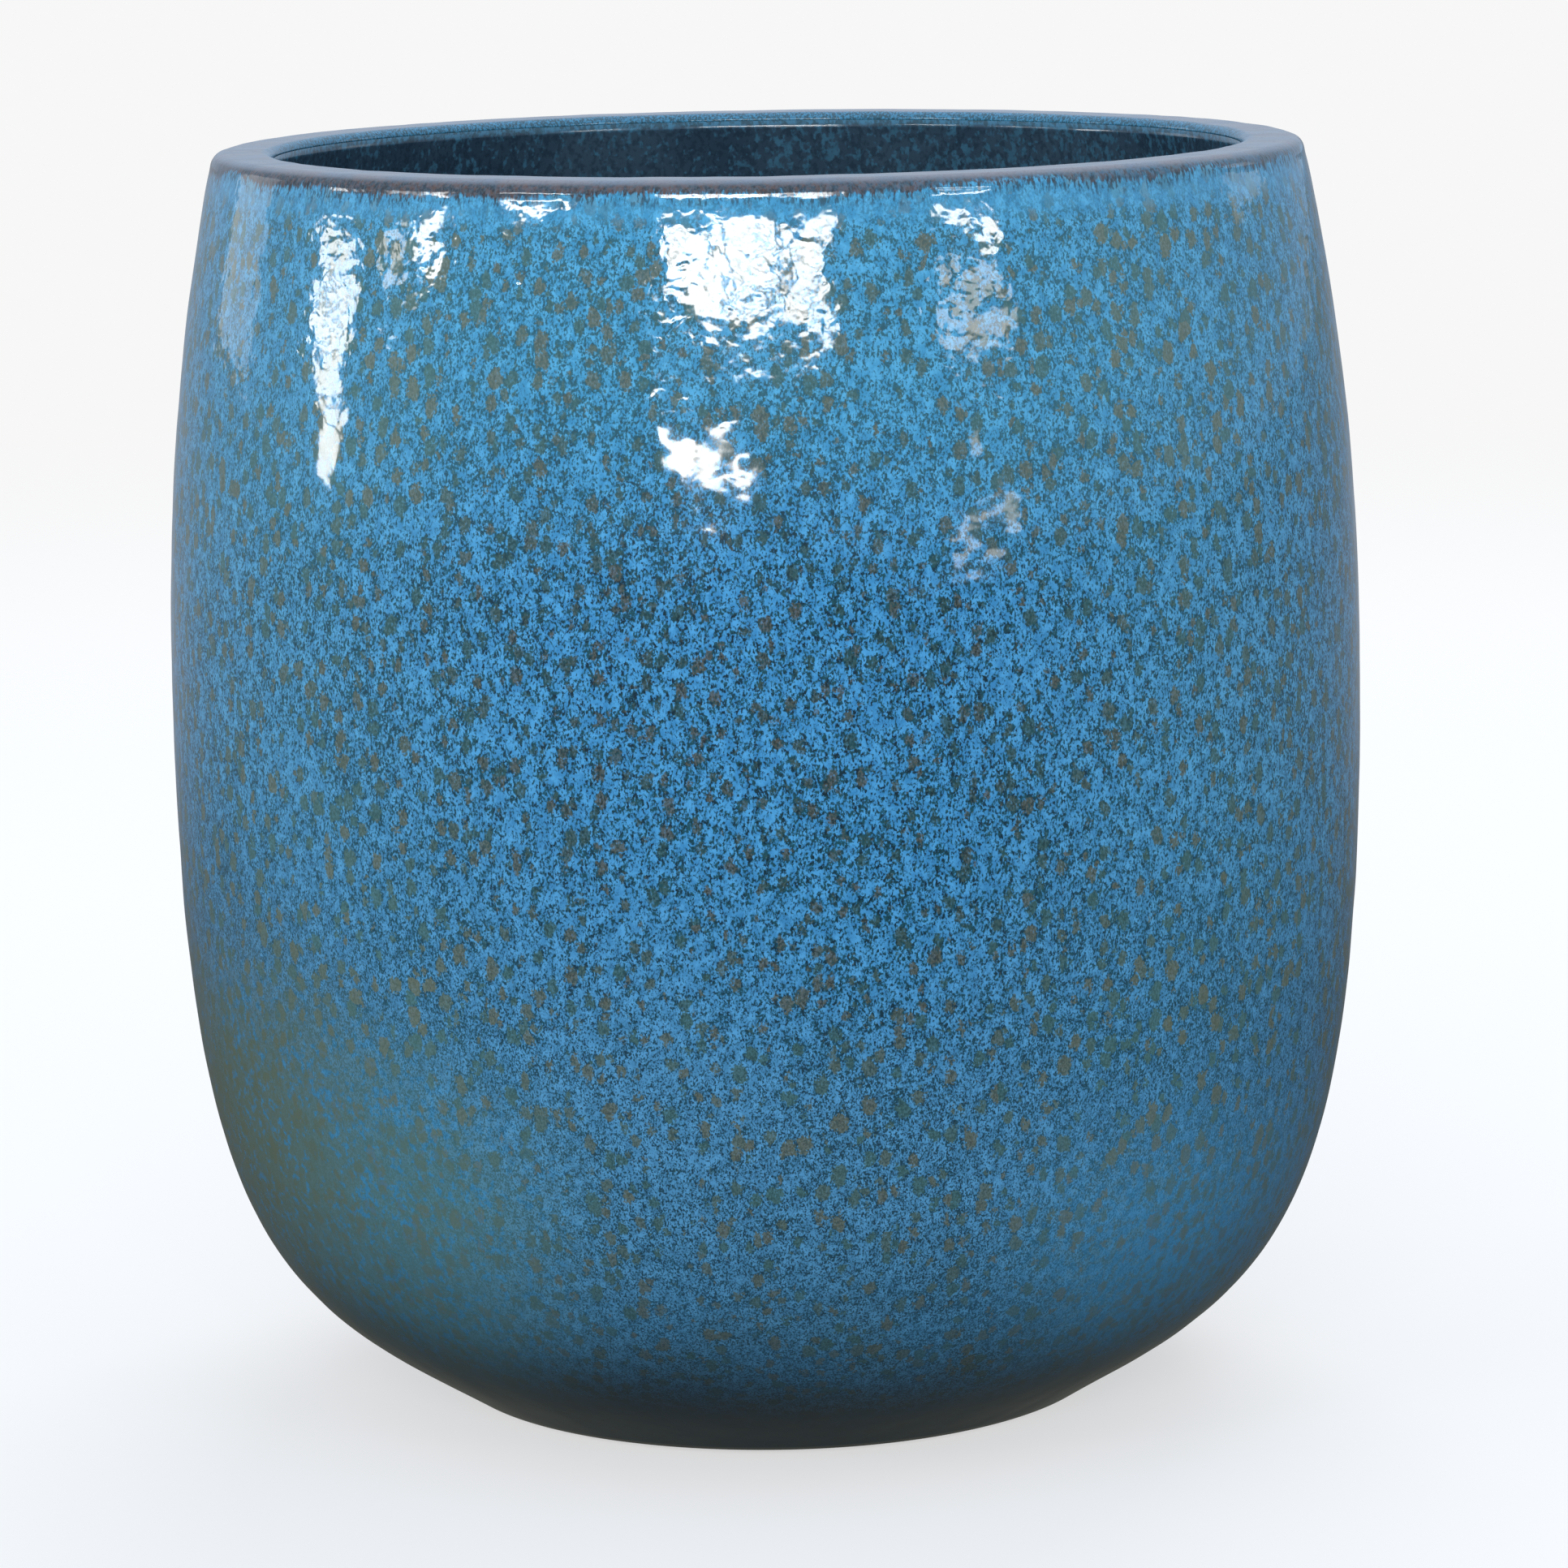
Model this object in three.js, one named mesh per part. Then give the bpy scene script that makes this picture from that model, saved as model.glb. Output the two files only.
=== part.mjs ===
// A wide-mouthed flower vase of speckled blue glazed stoneware: one thrown clay body, the coat of
// glaze outside and over its lip, the liner glaze inside, and four felt pads under its foot ring.
// Millimetres, +Z up. The origin is on the floor plane, on the vase's axis.

import * as THREE from 'three';

// Driving dimensions
const BELLY_RADIUS = 150;
const BELLY_HEIGHT = 172; // heights are above the foot ring's face, unless they are named Z
const RIM_HEIGHT = 314;
const LIP_OUTER_RADIUS = 136.8; // where the lip's outer corner starts
const LIP_OUTER_CORNER = 4.7;
const LIP_INNER_CORNER = 2.3;
const MOUTH_RADIUS = 121;
const FOOT_RADIUS = 83;
const FOOT_RING_WIDTH = 17;
const FOOT_RECESS_DEPTH = 3;
const FLOOR_THICKNESS = 15;
const INSIDE_BELLY_RADIUS = 137;
const FLOOR_FLAT_RADIUS = 52;

const GLAZE_THICKNESS = 0.8;
const GAP = 0.3; // between touching pieces

const PAD_RADIUS = 5;
const PAD_THICKNESS = 1.5;
const PAD_EDGE = 0.3;
const PAD_CIRCLE_RADIUS = 72.5;
const PAD_COUNT = 4;

// Derived places
const FOOT_Z = PAD_THICKNESS + GAP;
const CLAY_INSET = GLAZE_THICKNESS + GAP;

const ROUND_STEPS = 64;
const PAD_ROUND_STEPS = 24;

function point(radius, height) {
  return new THREE.Vector2(radius, FOOT_Z + height);
}

// The outside, from the foot ring's edge up to the lip's outer corner
function outsideWall() {
  const lowerWall = new THREE.CubicBezierCurve(
    point(FOOT_RADIUS, 0),
    point(124, 26.5),
    point(BELLY_RADIUS, 31.5),
    point(BELLY_RADIUS, BELLY_HEIGHT),
  );
  const upperWall = new THREE.CubicBezierCurve(
    point(BELLY_RADIUS, BELLY_HEIGHT),
    point(BELLY_RADIUS, 200),
    point(BELLY_RADIUS, 247),
    point(LIP_OUTER_RADIUS, RIM_HEIGHT - LIP_OUTER_CORNER),
  );
  return [...lowerWall.getPoints(11), ...upperWall.getPoints(8).slice(1)];
}

// A quarter turn of the lip, from one tangent angle to another
function lipCorner(radius, height, corner, fromAngle, toAngle, steps) {
  const centre = point(radius, height);
  const curve = new THREE.EllipseCurve(centre.x, centre.y, corner, corner, fromAngle, toAngle, false);
  return curve.getPoints(steps);
}

function overTheLip() {
  const outer = lipCorner(
    LIP_OUTER_RADIUS - LIP_OUTER_CORNER, RIM_HEIGHT - LIP_OUTER_CORNER, LIP_OUTER_CORNER, 0, Math.PI / 2, 5,
  );
  const inner = lipCorner(
    MOUTH_RADIUS + LIP_INNER_CORNER, RIM_HEIGHT - LIP_INNER_CORNER, LIP_INNER_CORNER,
    Math.PI / 2, Math.PI, 4,
  );
  return [...outer.slice(1), ...inner];
}

// The inside, from below the lip's inner corner down to the middle of the floor
function insideWall() {
  const upperWall = new THREE.CubicBezierCurve(
    point(MOUTH_RADIUS, RIM_HEIGHT - LIP_INNER_CORNER),
    point(126, 270),
    point(INSIDE_BELLY_RADIUS, 226),
    point(INSIDE_BELLY_RADIUS, 165),
  );
  const lowerWall = new THREE.CubicBezierCurve(
    point(INSIDE_BELLY_RADIUS, 165),
    point(INSIDE_BELLY_RADIUS, 48),
    point(110, FLOOR_THICKNESS),
    point(FLOOR_FLAT_RADIUS, FLOOR_THICKNESS),
  );
  return [...upperWall.getPoints(7), ...lowerWall.getPoints(10).slice(1)];
}

// Moves an outline into the clay, which lies on its left as the outline runs up, over and down
function inset(outline, distance) {
  return outline.map((here, index) => {
    const before = outline[Math.max(index - 1, 0)];
    const after = outline[Math.min(index + 1, outline.length - 1)];
    const along = after.clone().sub(before).normalize();
    return new THREE.Vector2(here.x - along.y * distance, here.y + along.x * distance);
  });
}

function revolve(outline, steps) {
  const geometry = new THREE.LatheGeometry(outline, steps);
  geometry.rotateX(Math.PI / 2);
  return geometry;
}

function closed(outline) {
  return [...outline, outline[0].clone()];
}

function clayBody() {
  const [footEdge, ...outside] = inset([...outsideWall(), ...overTheLip()], CLAY_INSET);
  const wallSlope = (outside[0].x - footEdge.x) / (outside[0].y - footEdge.y);
  footEdge.x -= (footEdge.y - FOOT_Z) * wallSlope;
  footEdge.y = FOOT_Z;
  const inside = inset(insideWall(), CLAY_INSET).slice(1);
  const ringInside = FOOT_RADIUS - FOOT_RING_WIDTH;
  return [
    point(0, FOOT_RECESS_DEPTH),
    point(ringInside - FOOT_RECESS_DEPTH, FOOT_RECESS_DEPTH),
    point(ringInside, 0),
    footEdge,
    ...outside,
    ...inside,
    point(0, FLOOR_THICKNESS - CLAY_INSET),
  ];
}

function outerCoat() {
  const skin = [...outsideWall(), ...overTheLip()];
  const back = inset(skin, GLAZE_THICKNESS);
  return closed([...skin, ...back.reverse()]);
}

function linerCoat() {
  const skin = insideWall();
  skin[0].y -= GAP;
  const back = inset(skin, GLAZE_THICKNESS);
  return [
    point(0, FLOOR_THICKNESS - GLAZE_THICKNESS),
    ...back.reverse(),
    ...skin,
    point(0, FLOOR_THICKNESS),
  ];
}

function feltDisc() {
  return [
    new THREE.Vector2(0, 0),
    new THREE.Vector2(PAD_RADIUS - PAD_EDGE, 0),
    new THREE.Vector2(PAD_RADIUS, PAD_EDGE),
    new THREE.Vector2(PAD_RADIUS, PAD_THICKNESS - PAD_EDGE),
    new THREE.Vector2(PAD_RADIUS - PAD_EDGE, PAD_THICKNESS),
    new THREE.Vector2(0, PAD_THICKNESS),
  ];
}

const materials = {
  clay: new THREE.MeshStandardMaterial({ color: 0xb9a288, roughness: 0.85, metalness: 0 }),
  blueGlaze: new THREE.MeshStandardMaterial({ color: 0x3f7fae, roughness: 0.12, metalness: 0 }),
  linerGlaze: new THREE.MeshStandardMaterial({ color: 0x22384c, roughness: 0.2, metalness: 0 }),
  felt: new THREE.MeshStandardMaterial({ color: 0x4a4744, roughness: 1, metalness: 0 }),
};

const vase = new THREE.Group();

function addPiece(name, geometry, material) {
  const piece = new THREE.Mesh(geometry, material);
  piece.name = name;
  vase.add(piece);
  return piece;
}

addPiece('stoneware_body', revolve(clayBody(), ROUND_STEPS), materials.clay);
addPiece('outer_glaze', revolve(outerCoat(), ROUND_STEPS), materials.blueGlaze);
addPiece('inner_glaze', revolve(linerCoat(), ROUND_STEPS), materials.linerGlaze);

for (let index = 0; index < PAD_COUNT; index += 1) {
  const angle = ((index + 0.5) / PAD_COUNT) * 2 * Math.PI;
  const pad = addPiece(`foot_pad_${index + 1}`, revolve(feltDisc(), PAD_ROUND_STEPS), materials.felt);
  pad.position.set(PAD_CIRCLE_RADIUS * Math.cos(angle), PAD_CIRCLE_RADIUS * Math.sin(angle), 0);
}

export default vase;
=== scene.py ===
# The looks of a wide-mouthed stoneware flower vase with a speckled blue reactive glaze.
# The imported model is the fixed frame. Each of its pieces is built again here as a fine mesh.
# Metres, +Z up. The origin is on the floor plane, on the vase's axis.

import math
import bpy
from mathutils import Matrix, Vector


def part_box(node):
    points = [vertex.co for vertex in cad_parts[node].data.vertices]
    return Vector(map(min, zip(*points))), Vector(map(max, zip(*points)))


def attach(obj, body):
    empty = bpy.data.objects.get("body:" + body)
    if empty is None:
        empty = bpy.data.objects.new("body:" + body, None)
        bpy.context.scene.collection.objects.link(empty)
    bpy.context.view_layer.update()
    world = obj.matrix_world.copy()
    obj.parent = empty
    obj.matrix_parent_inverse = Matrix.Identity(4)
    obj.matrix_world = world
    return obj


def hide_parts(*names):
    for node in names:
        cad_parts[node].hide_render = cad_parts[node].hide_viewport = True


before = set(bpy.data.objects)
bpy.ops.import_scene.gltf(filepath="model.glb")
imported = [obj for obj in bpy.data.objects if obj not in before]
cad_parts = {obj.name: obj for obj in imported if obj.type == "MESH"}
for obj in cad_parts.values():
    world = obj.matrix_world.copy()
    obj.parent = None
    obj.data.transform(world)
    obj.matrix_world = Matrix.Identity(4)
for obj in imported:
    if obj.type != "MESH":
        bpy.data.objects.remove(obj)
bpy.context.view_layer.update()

from types import SimpleNamespace

import bpy
import numpy as np
from mathutils import Matrix, Vector

MM = 0.001

# The foot ring's face, from the frame. The heights named below are above it.
FOOT_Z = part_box("outer_glaze")[0].z

# The outline's driving sizes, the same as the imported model's
BELLY_RADIUS = 150 * MM
BELLY_HEIGHT = 172 * MM
RIM_HEIGHT = 314 * MM
LIP_OUTER_RADIUS = 136.8 * MM
LIP_OUTER_CORNER = 4.7 * MM
LIP_INNER_CORNER = 2.3 * MM
MOUTH_RADIUS = 121 * MM
FOOT_RADIUS = 83 * MM
FOOT_RING_WIDTH = 17 * MM
FOOT_RECESS_DEPTH = 3 * MM
FLOOR_THICKNESS = 15 * MM
INSIDE_BELLY_RADIUS = 137 * MM
INSIDE_BELLY_HEIGHT = 165 * MM
FLOOR_FLAT_RADIUS = 52 * MM
GLAZE_THICKNESS = 0.8 * MM
GAP = 0.3 * MM  # between the clay and the glaze
CLAY_INSET = GLAZE_THICKNESS + GAP

# How the fired glaze departs from that outline at the lip
SHOULDER_HEIGHT = 7 * MM
SHOULDER_DROP = 0.15 * MM
WALL_LEAN = math.radians(12)
FACET_START = 0.7 * MM
FACET_RISE = 0.8 * MM
FACET_LEAN = math.radians(10)
FACET_EDGE = 0.2 * MM
LIP_SINK = 0.16 * MM

# The felt pads
PAD_RADIUS = 5 * MM
PAD_EDGE = 0.5 * MM
PAD_FLUFF = 0.10 * MM
PAD_WEAR = 0.05 * MM

# How finely the round pieces and their curves are divided
ROUND_STEPS = 400
PAD_ROUND_STEPS = 96
CURVE_STEPS = 400
LIP_CURVE_STEPS = (24, 8, 16)  # the outer corner, the top and the inner corner


# ---------------------------------------------------------------- outlines

def point(radius, height):
    return np.array([radius, FOOT_Z + height])


def bezier(start, pull_start, pull_end, end, steps):
    t = np.linspace(0, 1, steps + 1)[:, None]
    return (
        (1 - t) ** 3 * start
        + 3 * (1 - t) ** 2 * t * pull_start
        + 3 * (1 - t) * t ** 2 * pull_end
        + t ** 3 * end
    )


def arc(radius, height, corner, from_angle, to_angle, steps):
    turn = np.linspace(from_angle, to_angle, steps + 1)
    return point(radius, height) + corner * np.stack([np.cos(turn), np.sin(turn)], axis=1)


def line(start, end, steps):
    t = np.linspace(0, 1, steps + 1)[:, None]
    return start + t * (end - start)


def joined(*stretches):
    """One outline from stretches that each start where the last one ended."""
    return np.concatenate([stretches[0]] + [stretch[1:] for stretch in stretches[1:]])


def spaced(outline, places):
    """The same outline with its points at these distances along it."""
    lengths = np.r_[0, np.cumsum(np.hypot(*np.diff(outline, axis=0).T))]
    places = places(lengths[-1])
    return np.stack([np.interp(places, lengths, outline[:, axis]) for axis in (0, 1)], axis=1)


def evenly(outline, steps):
    return spaced(outline, lambda length: np.linspace(0, length, steps + 1))


def inset(outline, distance):
    """Moves an outline into the clay, on its left as it runs up, over the lip and down."""
    along = np.gradient(outline, axis=0)
    along /= np.linalg.norm(along, axis=1)[:, None]
    return outline + distance * np.stack([-along[:, 1], along[:, 0]], axis=1)


def outside_curve():
    lower = bezier(
        point(FOOT_RADIUS, 0),
        point(124 * MM, 26.5 * MM),
        point(BELLY_RADIUS, 31.5 * MM),
        point(BELLY_RADIUS, BELLY_HEIGHT),
        CURVE_STEPS,
    )
    upper = bezier(
        point(BELLY_RADIUS, BELLY_HEIGHT),
        point(BELLY_RADIUS, 200 * MM),
        point(BELLY_RADIUS, 247 * MM),
        point(LIP_OUTER_RADIUS, RIM_HEIGHT - LIP_OUTER_CORNER),
        CURVE_STEPS,
    )
    return joined(lower, upper)


def lip_curve(outer_steps, top_steps, inner_steps):
    """The true lip, which the clay and the back of the glaze follow."""
    outer_centre = LIP_OUTER_RADIUS - LIP_OUTER_CORNER
    inner_centre = MOUTH_RADIUS + LIP_INNER_CORNER
    outer_height = RIM_HEIGHT - LIP_OUTER_CORNER
    inner_height = RIM_HEIGHT - LIP_INNER_CORNER
    quarter = math.pi / 2
    outer = arc(outer_centre, outer_height, LIP_OUTER_CORNER, 0, quarter, outer_steps)
    top = line(point(outer_centre, RIM_HEIGHT), point(inner_centre, RIM_HEIGHT), top_steps)
    inner = arc(inner_centre, inner_height, LIP_INNER_CORNER, quarter, math.pi, inner_steps)
    return joined(outer, top, inner)


def glazed_wall(steps, shoulder_steps):
    """The outside wall as the glaze leaves it: it thins towards the lip, over the shoulder."""
    def places(length):
        main = np.linspace(0, length - SHOULDER_HEIGHT, steps + 1)
        shoulder = np.linspace(length - SHOULDER_HEIGHT, length - FACET_EDGE, shoulder_steps + 1)
        return np.r_[main, shoulder[1:], length]

    wall = spaced(outside_curve(), places)
    climb = np.clip((wall[:, 1] - wall[-1, 1]) / SHOULDER_HEIGHT + 1, 0, 1)
    wall[:, 0] -= SHOULDER_DROP * climb ** 2
    return wall


def glazed_lip(outer_steps, top_steps, inner_steps):
    """The lip as the glaze leaves it: a narrow facet, the outer corner, a level top, the inner corner."""
    wall_end = point(LIP_OUTER_RADIUS - SHOULDER_DROP, RIM_HEIGHT - LIP_OUTER_CORNER)
    start = wall_end + FACET_START * np.array([-math.tan(WALL_LEAN), 1])
    facet_end = start + FACET_RISE * np.array([-math.tan(FACET_LEAN), 1])
    facet = joined(line(wall_end, start, 3), line(start, facet_end, 5))
    top_height = RIM_HEIGHT - LIP_SINK
    corner = (FOOT_Z + top_height - facet_end[1]) / (1 - math.sin(FACET_LEAN))
    outer_centre = facet_end[0] - corner * math.cos(FACET_LEAN)
    outer = arc(outer_centre, top_height - corner, corner, FACET_LEAN, math.pi / 2, outer_steps)
    inner_centre = MOUTH_RADIUS + LIP_INNER_CORNER
    top = line(point(outer_centre, top_height), point(inner_centre, top_height), top_steps)
    turn = np.linspace(math.pi / 2, math.pi, inner_steps + 1)
    inner_height = LIP_INNER_CORNER - LIP_SINK
    inner = point(inner_centre, RIM_HEIGHT - LIP_INNER_CORNER) + np.stack(
        [LIP_INNER_CORNER * np.cos(turn), inner_height * np.sin(turn)], axis=1
    )
    return joined(facet, outer, top, inner)


def inside_wall(steps):
    upper = bezier(
        point(MOUTH_RADIUS, RIM_HEIGHT - LIP_INNER_CORNER),
        point(126 * MM, 270 * MM),
        point(INSIDE_BELLY_RADIUS, 226 * MM),
        point(INSIDE_BELLY_RADIUS, INSIDE_BELLY_HEIGHT),
        CURVE_STEPS,
    )
    lower = bezier(
        point(INSIDE_BELLY_RADIUS, INSIDE_BELLY_HEIGHT),
        point(INSIDE_BELLY_RADIUS, 48 * MM),
        point(110 * MM, FLOOR_THICKNESS),
        point(FLOOR_FLAT_RADIUS, FLOOR_THICKNESS),
        CURVE_STEPS,
    )
    return evenly(joined(upper, lower), steps)


# ---------------------------------------------------------------- the handmade surface

class Ripples:
    """A smooth random height over (turn, height), which closes on itself round the vase."""

    def __init__(self, seed, count, long_wave, short_wave, slope):
        draw = np.random.default_rng(seed)
        waves = short_wave * (long_wave / short_wave) ** draw.random(count)
        headings = draw.random(count) * math.pi
        around = 2 * math.pi * BELLY_RADIUS / waves * np.cos(headings)
        self.around = np.round(around)
        self.upward = 2 * math.pi * np.sin(headings) / waves
        self.phase = draw.random(count) * 2 * math.pi
        self.share = slope * waves / (2 * math.pi) * math.sqrt(2 / count)

    def __call__(self, turn, height):
        total = np.zeros(np.broadcast(turn, height).shape)
        for around, upward, phase, share in zip(self.around, self.upward, self.phase, self.share):
            total += share * np.sin(around * turn + upward * height + phase)
        return total


OUT_OF_ROUND = 0.22 * MM  # how far the wall strays inward on average from the true circle
orange_peel = Ripples(seed=11, count=90, long_wave=42 * MM, short_wave=9 * MM, slope=0.011)
inside_peel = Ripples(seed=23, count=50, long_wave=60 * MM, short_wave=12 * MM, slope=0.008)


def out_of_round(turn, height):
    """The slow wander of a thrown wall, between 0 and twice OUT_OF_ROUND, always inward."""
    sway = (
        0.40 * np.sin(2 * turn + 0.7 + 3 * height)
        + 0.30 * np.sin(3 * turn + 2.1 - 6 * height)
        + 0.18 * np.sin(5 * turn + 4.4 + 11 * height)
        + 0.12 * np.sin(7 * turn + 1.3 - 17 * height)
    )
    return -OUT_OF_ROUND * (1 + sway)


# ---------------------------------------------------------------- meshes

def smooth_step(values, low, high):
    t = np.clip((values - low) / (high - low), 0, 1)
    return t * t * (3 - 2 * t)


def revolve(name, outline, steps, relief, shown_rows, closes):
    """Turns an outline about the axis into one closed mesh.

    relief(turn, outline) gives how far each point moves along its normal. shown_rows are the rows of
    faces that can be seen, which get most of the unwrapped square. closes says that the outline ends
    where it starts; otherwise both of its ends lie on the axis.
    """
    turn = np.arange(steps) / steps * 2 * math.pi
    along = np.gradient(outline, axis=0)
    if closes:
        along = (np.roll(outline, -1, axis=0) - np.roll(outline, 1, axis=0)) / 2
    along /= np.linalg.norm(along, axis=1)[:, None]
    normal = np.stack([along[:, 1], -along[:, 0]], axis=1)
    height = relief(turn[:, None], outline)
    radius = outline[None, :, 0] + height * normal[None, :, 0]
    z = outline[None, :, 1] + height * normal[None, :, 1] + 0 * turn[:, None]
    off_axis = smooth_step(outline[None, :, 0], 0, FLOOR_FLAT_RADIUS)
    radius = radius + out_of_round(turn[:, None], z) * off_axis
    x = radius * np.cos(turn)[:, None]
    y = radius * np.sin(turn)[:, None]
    points = np.stack([x, y, z], axis=2)

    rows = len(outline)
    ring_rows = range(rows) if closes else range(1, rows - 1)
    index = {}
    vertices = []
    for row in ring_rows:
        index[row] = len(vertices)
        vertices.extend(points[:, row])
    if not closes:
        index[0] = len(vertices)
        vertices.append((0, 0, outline[0, 1]))
        index[rows - 1] = len(vertices)
        vertices.append((0, 0, outline[-1, 1]))

    def at(row, column):
        on_axis = not closes and row in (0, rows - 1)
        return index[row] + (0 if on_axis else column % steps)

    faces = []
    corners = []
    face_rows = rows if closes else rows - 1
    for row in range(face_rows):
        above = (row + 1) % rows
        for column in range(steps):
            loop = [(row, column), (row, column + 1), (row + 1, column + 1), (row + 1, column)]
            if not closes and row == 0:
                loop = [loop[0], loop[2], loop[3]]
            if not closes and above == rows - 1:
                loop = [loop[0], loop[1], loop[2]]
            faces.append([at(r % rows, c) for r, c in loop])
            corners.extend((row, column, r, c) for r, c in loop)

    mesh = bpy.data.meshes.new(name)
    mesh.from_pydata(vertices, [], faces)
    unwrap(mesh, np.array(corners), outline, steps, shown_rows)
    mesh.polygons.foreach_set("use_smooth", [True] * len(mesh.polygons))
    mesh.validate()
    mesh.update()
    piece = bpy.data.objects.new(name, mesh)
    bpy.context.scene.collection.objects.link(piece)
    return piece


def unwrap(mesh, corners, outline, steps, shown_rows):
    """Lays the shown rows out as two stacked half turns, and the hidden rows as a thin strip below."""
    strip = 0.03
    margin = 0.004
    closed_outline = np.concatenate([outline, outline[:1]])
    lengths = np.r_[0, np.cumsum(np.hypot(*np.diff(closed_outline, axis=0).T))]
    first, last = shown_rows
    row, column, corner_row, corner_column = corners.T
    shown = (row >= first) & (row < last)
    half = (column * 2 >= steps).astype(int)
    across = np.where(shown, (corner_column * 2 - half * steps) / steps, corner_column / steps)
    share = (lengths[corner_row] - lengths[first]) / (lengths[last] - lengths[first])
    half_height = (1 - strip) / 2
    shown_up = strip + half * half_height + margin + share * (half_height - 2 * margin)
    hidden_share = lengths[corner_row] / lengths[-1]
    up = np.where(shown, shown_up, hidden_share * (strip - margin))
    layer = mesh.uv_layers.new(name="OFBake")
    places = np.stack([margin + across * (1 - 2 * margin), up], axis=1)
    layer.data.foreach_set("uv", places.astype(np.float32).ravel())


def build_outer_coat():
    inner_steps = 9
    skin = joined(glazed_wall(150, 10), glazed_lip(13, 5, inner_steps))
    back = evenly(inset(joined(outside_curve(), lip_curve(*LIP_CURVE_STEPS)), GLAZE_THICKNESS), 40)
    outline = np.concatenate([skin, back[::-1]])
    count = len(skin)

    def relief(turn, outline):
        fade = np.ones(len(outline))
        fade[count:] = 0
        fade[:count] *= smooth_step(outline[:count, 1], FOOT_Z, FOOT_Z + 6 * MM)
        fade[:count] *= smooth_step(-np.arange(count), -(count - 1), -(count - 1 - inner_steps))
        return orange_peel(turn, outline[None, :, 1]) * fade

    return revolve("glaze_coat", outline, ROUND_STEPS, relief, (0, count - 1), closes=True)


def build_liner():
    skin = inside_wall(150)
    floor = line(point(FLOOR_FLAT_RADIUS, FLOOR_THICKNESS), point(0, FLOOR_THICKNESS), 22)
    front = joined(skin, floor)
    back = inset(evenly(skin, 40), GLAZE_THICKNESS)
    start = point(0, FLOOR_THICKNESS - GLAZE_THICKNESS)
    outline = np.concatenate([[start], back[::-1], front])
    first = len(back) + 1
    ring_pitch = 7.5 * MM
    ring_depth = 0.07 * MM

    def relief(turn, outline):
        height = outline[None, :, 1]
        rings = np.sin(2 * math.pi * height / ring_pitch + turn) * ring_depth
        rings = rings * smooth_step(-height, -(FOOT_Z + RIM_HEIGHT), -(FOOT_Z + 200 * MM))
        fade = np.zeros(len(outline))
        fade[first:] = smooth_step(np.arange(len(outline) - first), 0, 6)
        fade *= smooth_step(outline[:, 0], 0, 20 * MM)
        return (rings + inside_peel(turn, height)) * fade

    return revolve("liner_coat", outline, ROUND_STEPS, relief, (first, len(outline) - 1), closes=False)


def build_clay_body():
    ring_inside = FOOT_RADIUS - FOOT_RING_WIDTH
    edge = 1.2 * MM
    outside = inset(joined(outside_curve(), lip_curve(*LIP_CURVE_STEPS)), CLAY_INSET)
    outside = evenly(outside[outside[:, 1] > FOOT_Z + edge], 70)
    inside = evenly(inset(inside_wall(CURVE_STEPS), CLAY_INSET), 50)
    under = joined(
        line(point(0, FOOT_RECESS_DEPTH), point(ring_inside - FOOT_RECESS_DEPTH, FOOT_RECESS_DEPTH), 60),
        line(point(ring_inside - FOOT_RECESS_DEPTH, FOOT_RECESS_DEPTH), point(ring_inside, 0), 6),
        line(point(ring_inside, 0), point(FOOT_RADIUS - CLAY_INSET - edge, 0), 20),
    )
    middle = point(0, FLOOR_THICKNESS - CLAY_INSET)
    outline = np.concatenate([under, outside, inside[1:], [middle]])
    under_count = len(under)
    groove_pitch = 3.1 * MM
    groove_depth = 0.09 * MM

    def relief(turn, outline):
        radius = outline[None, :, 0]
        grooves = np.sin(2 * math.pi * radius / groove_pitch + turn) * groove_depth
        grooves = grooves * (1 + 0.4 * np.sin(5 * turn + 90 * radius))
        fade = np.zeros(len(outline))
        recessed = outline[:under_count, 1] > FOOT_Z + 0.9 * FOOT_RECESS_DEPTH
        fade[:under_count] = np.where(recessed, smooth_step(outline[:under_count, 0], 0, 8 * MM), 0)
        return grooves * fade

    return revolve("clay_body", outline, ROUND_STEPS // 2, relief, (0, under_count + 2), closes=False)


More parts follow.
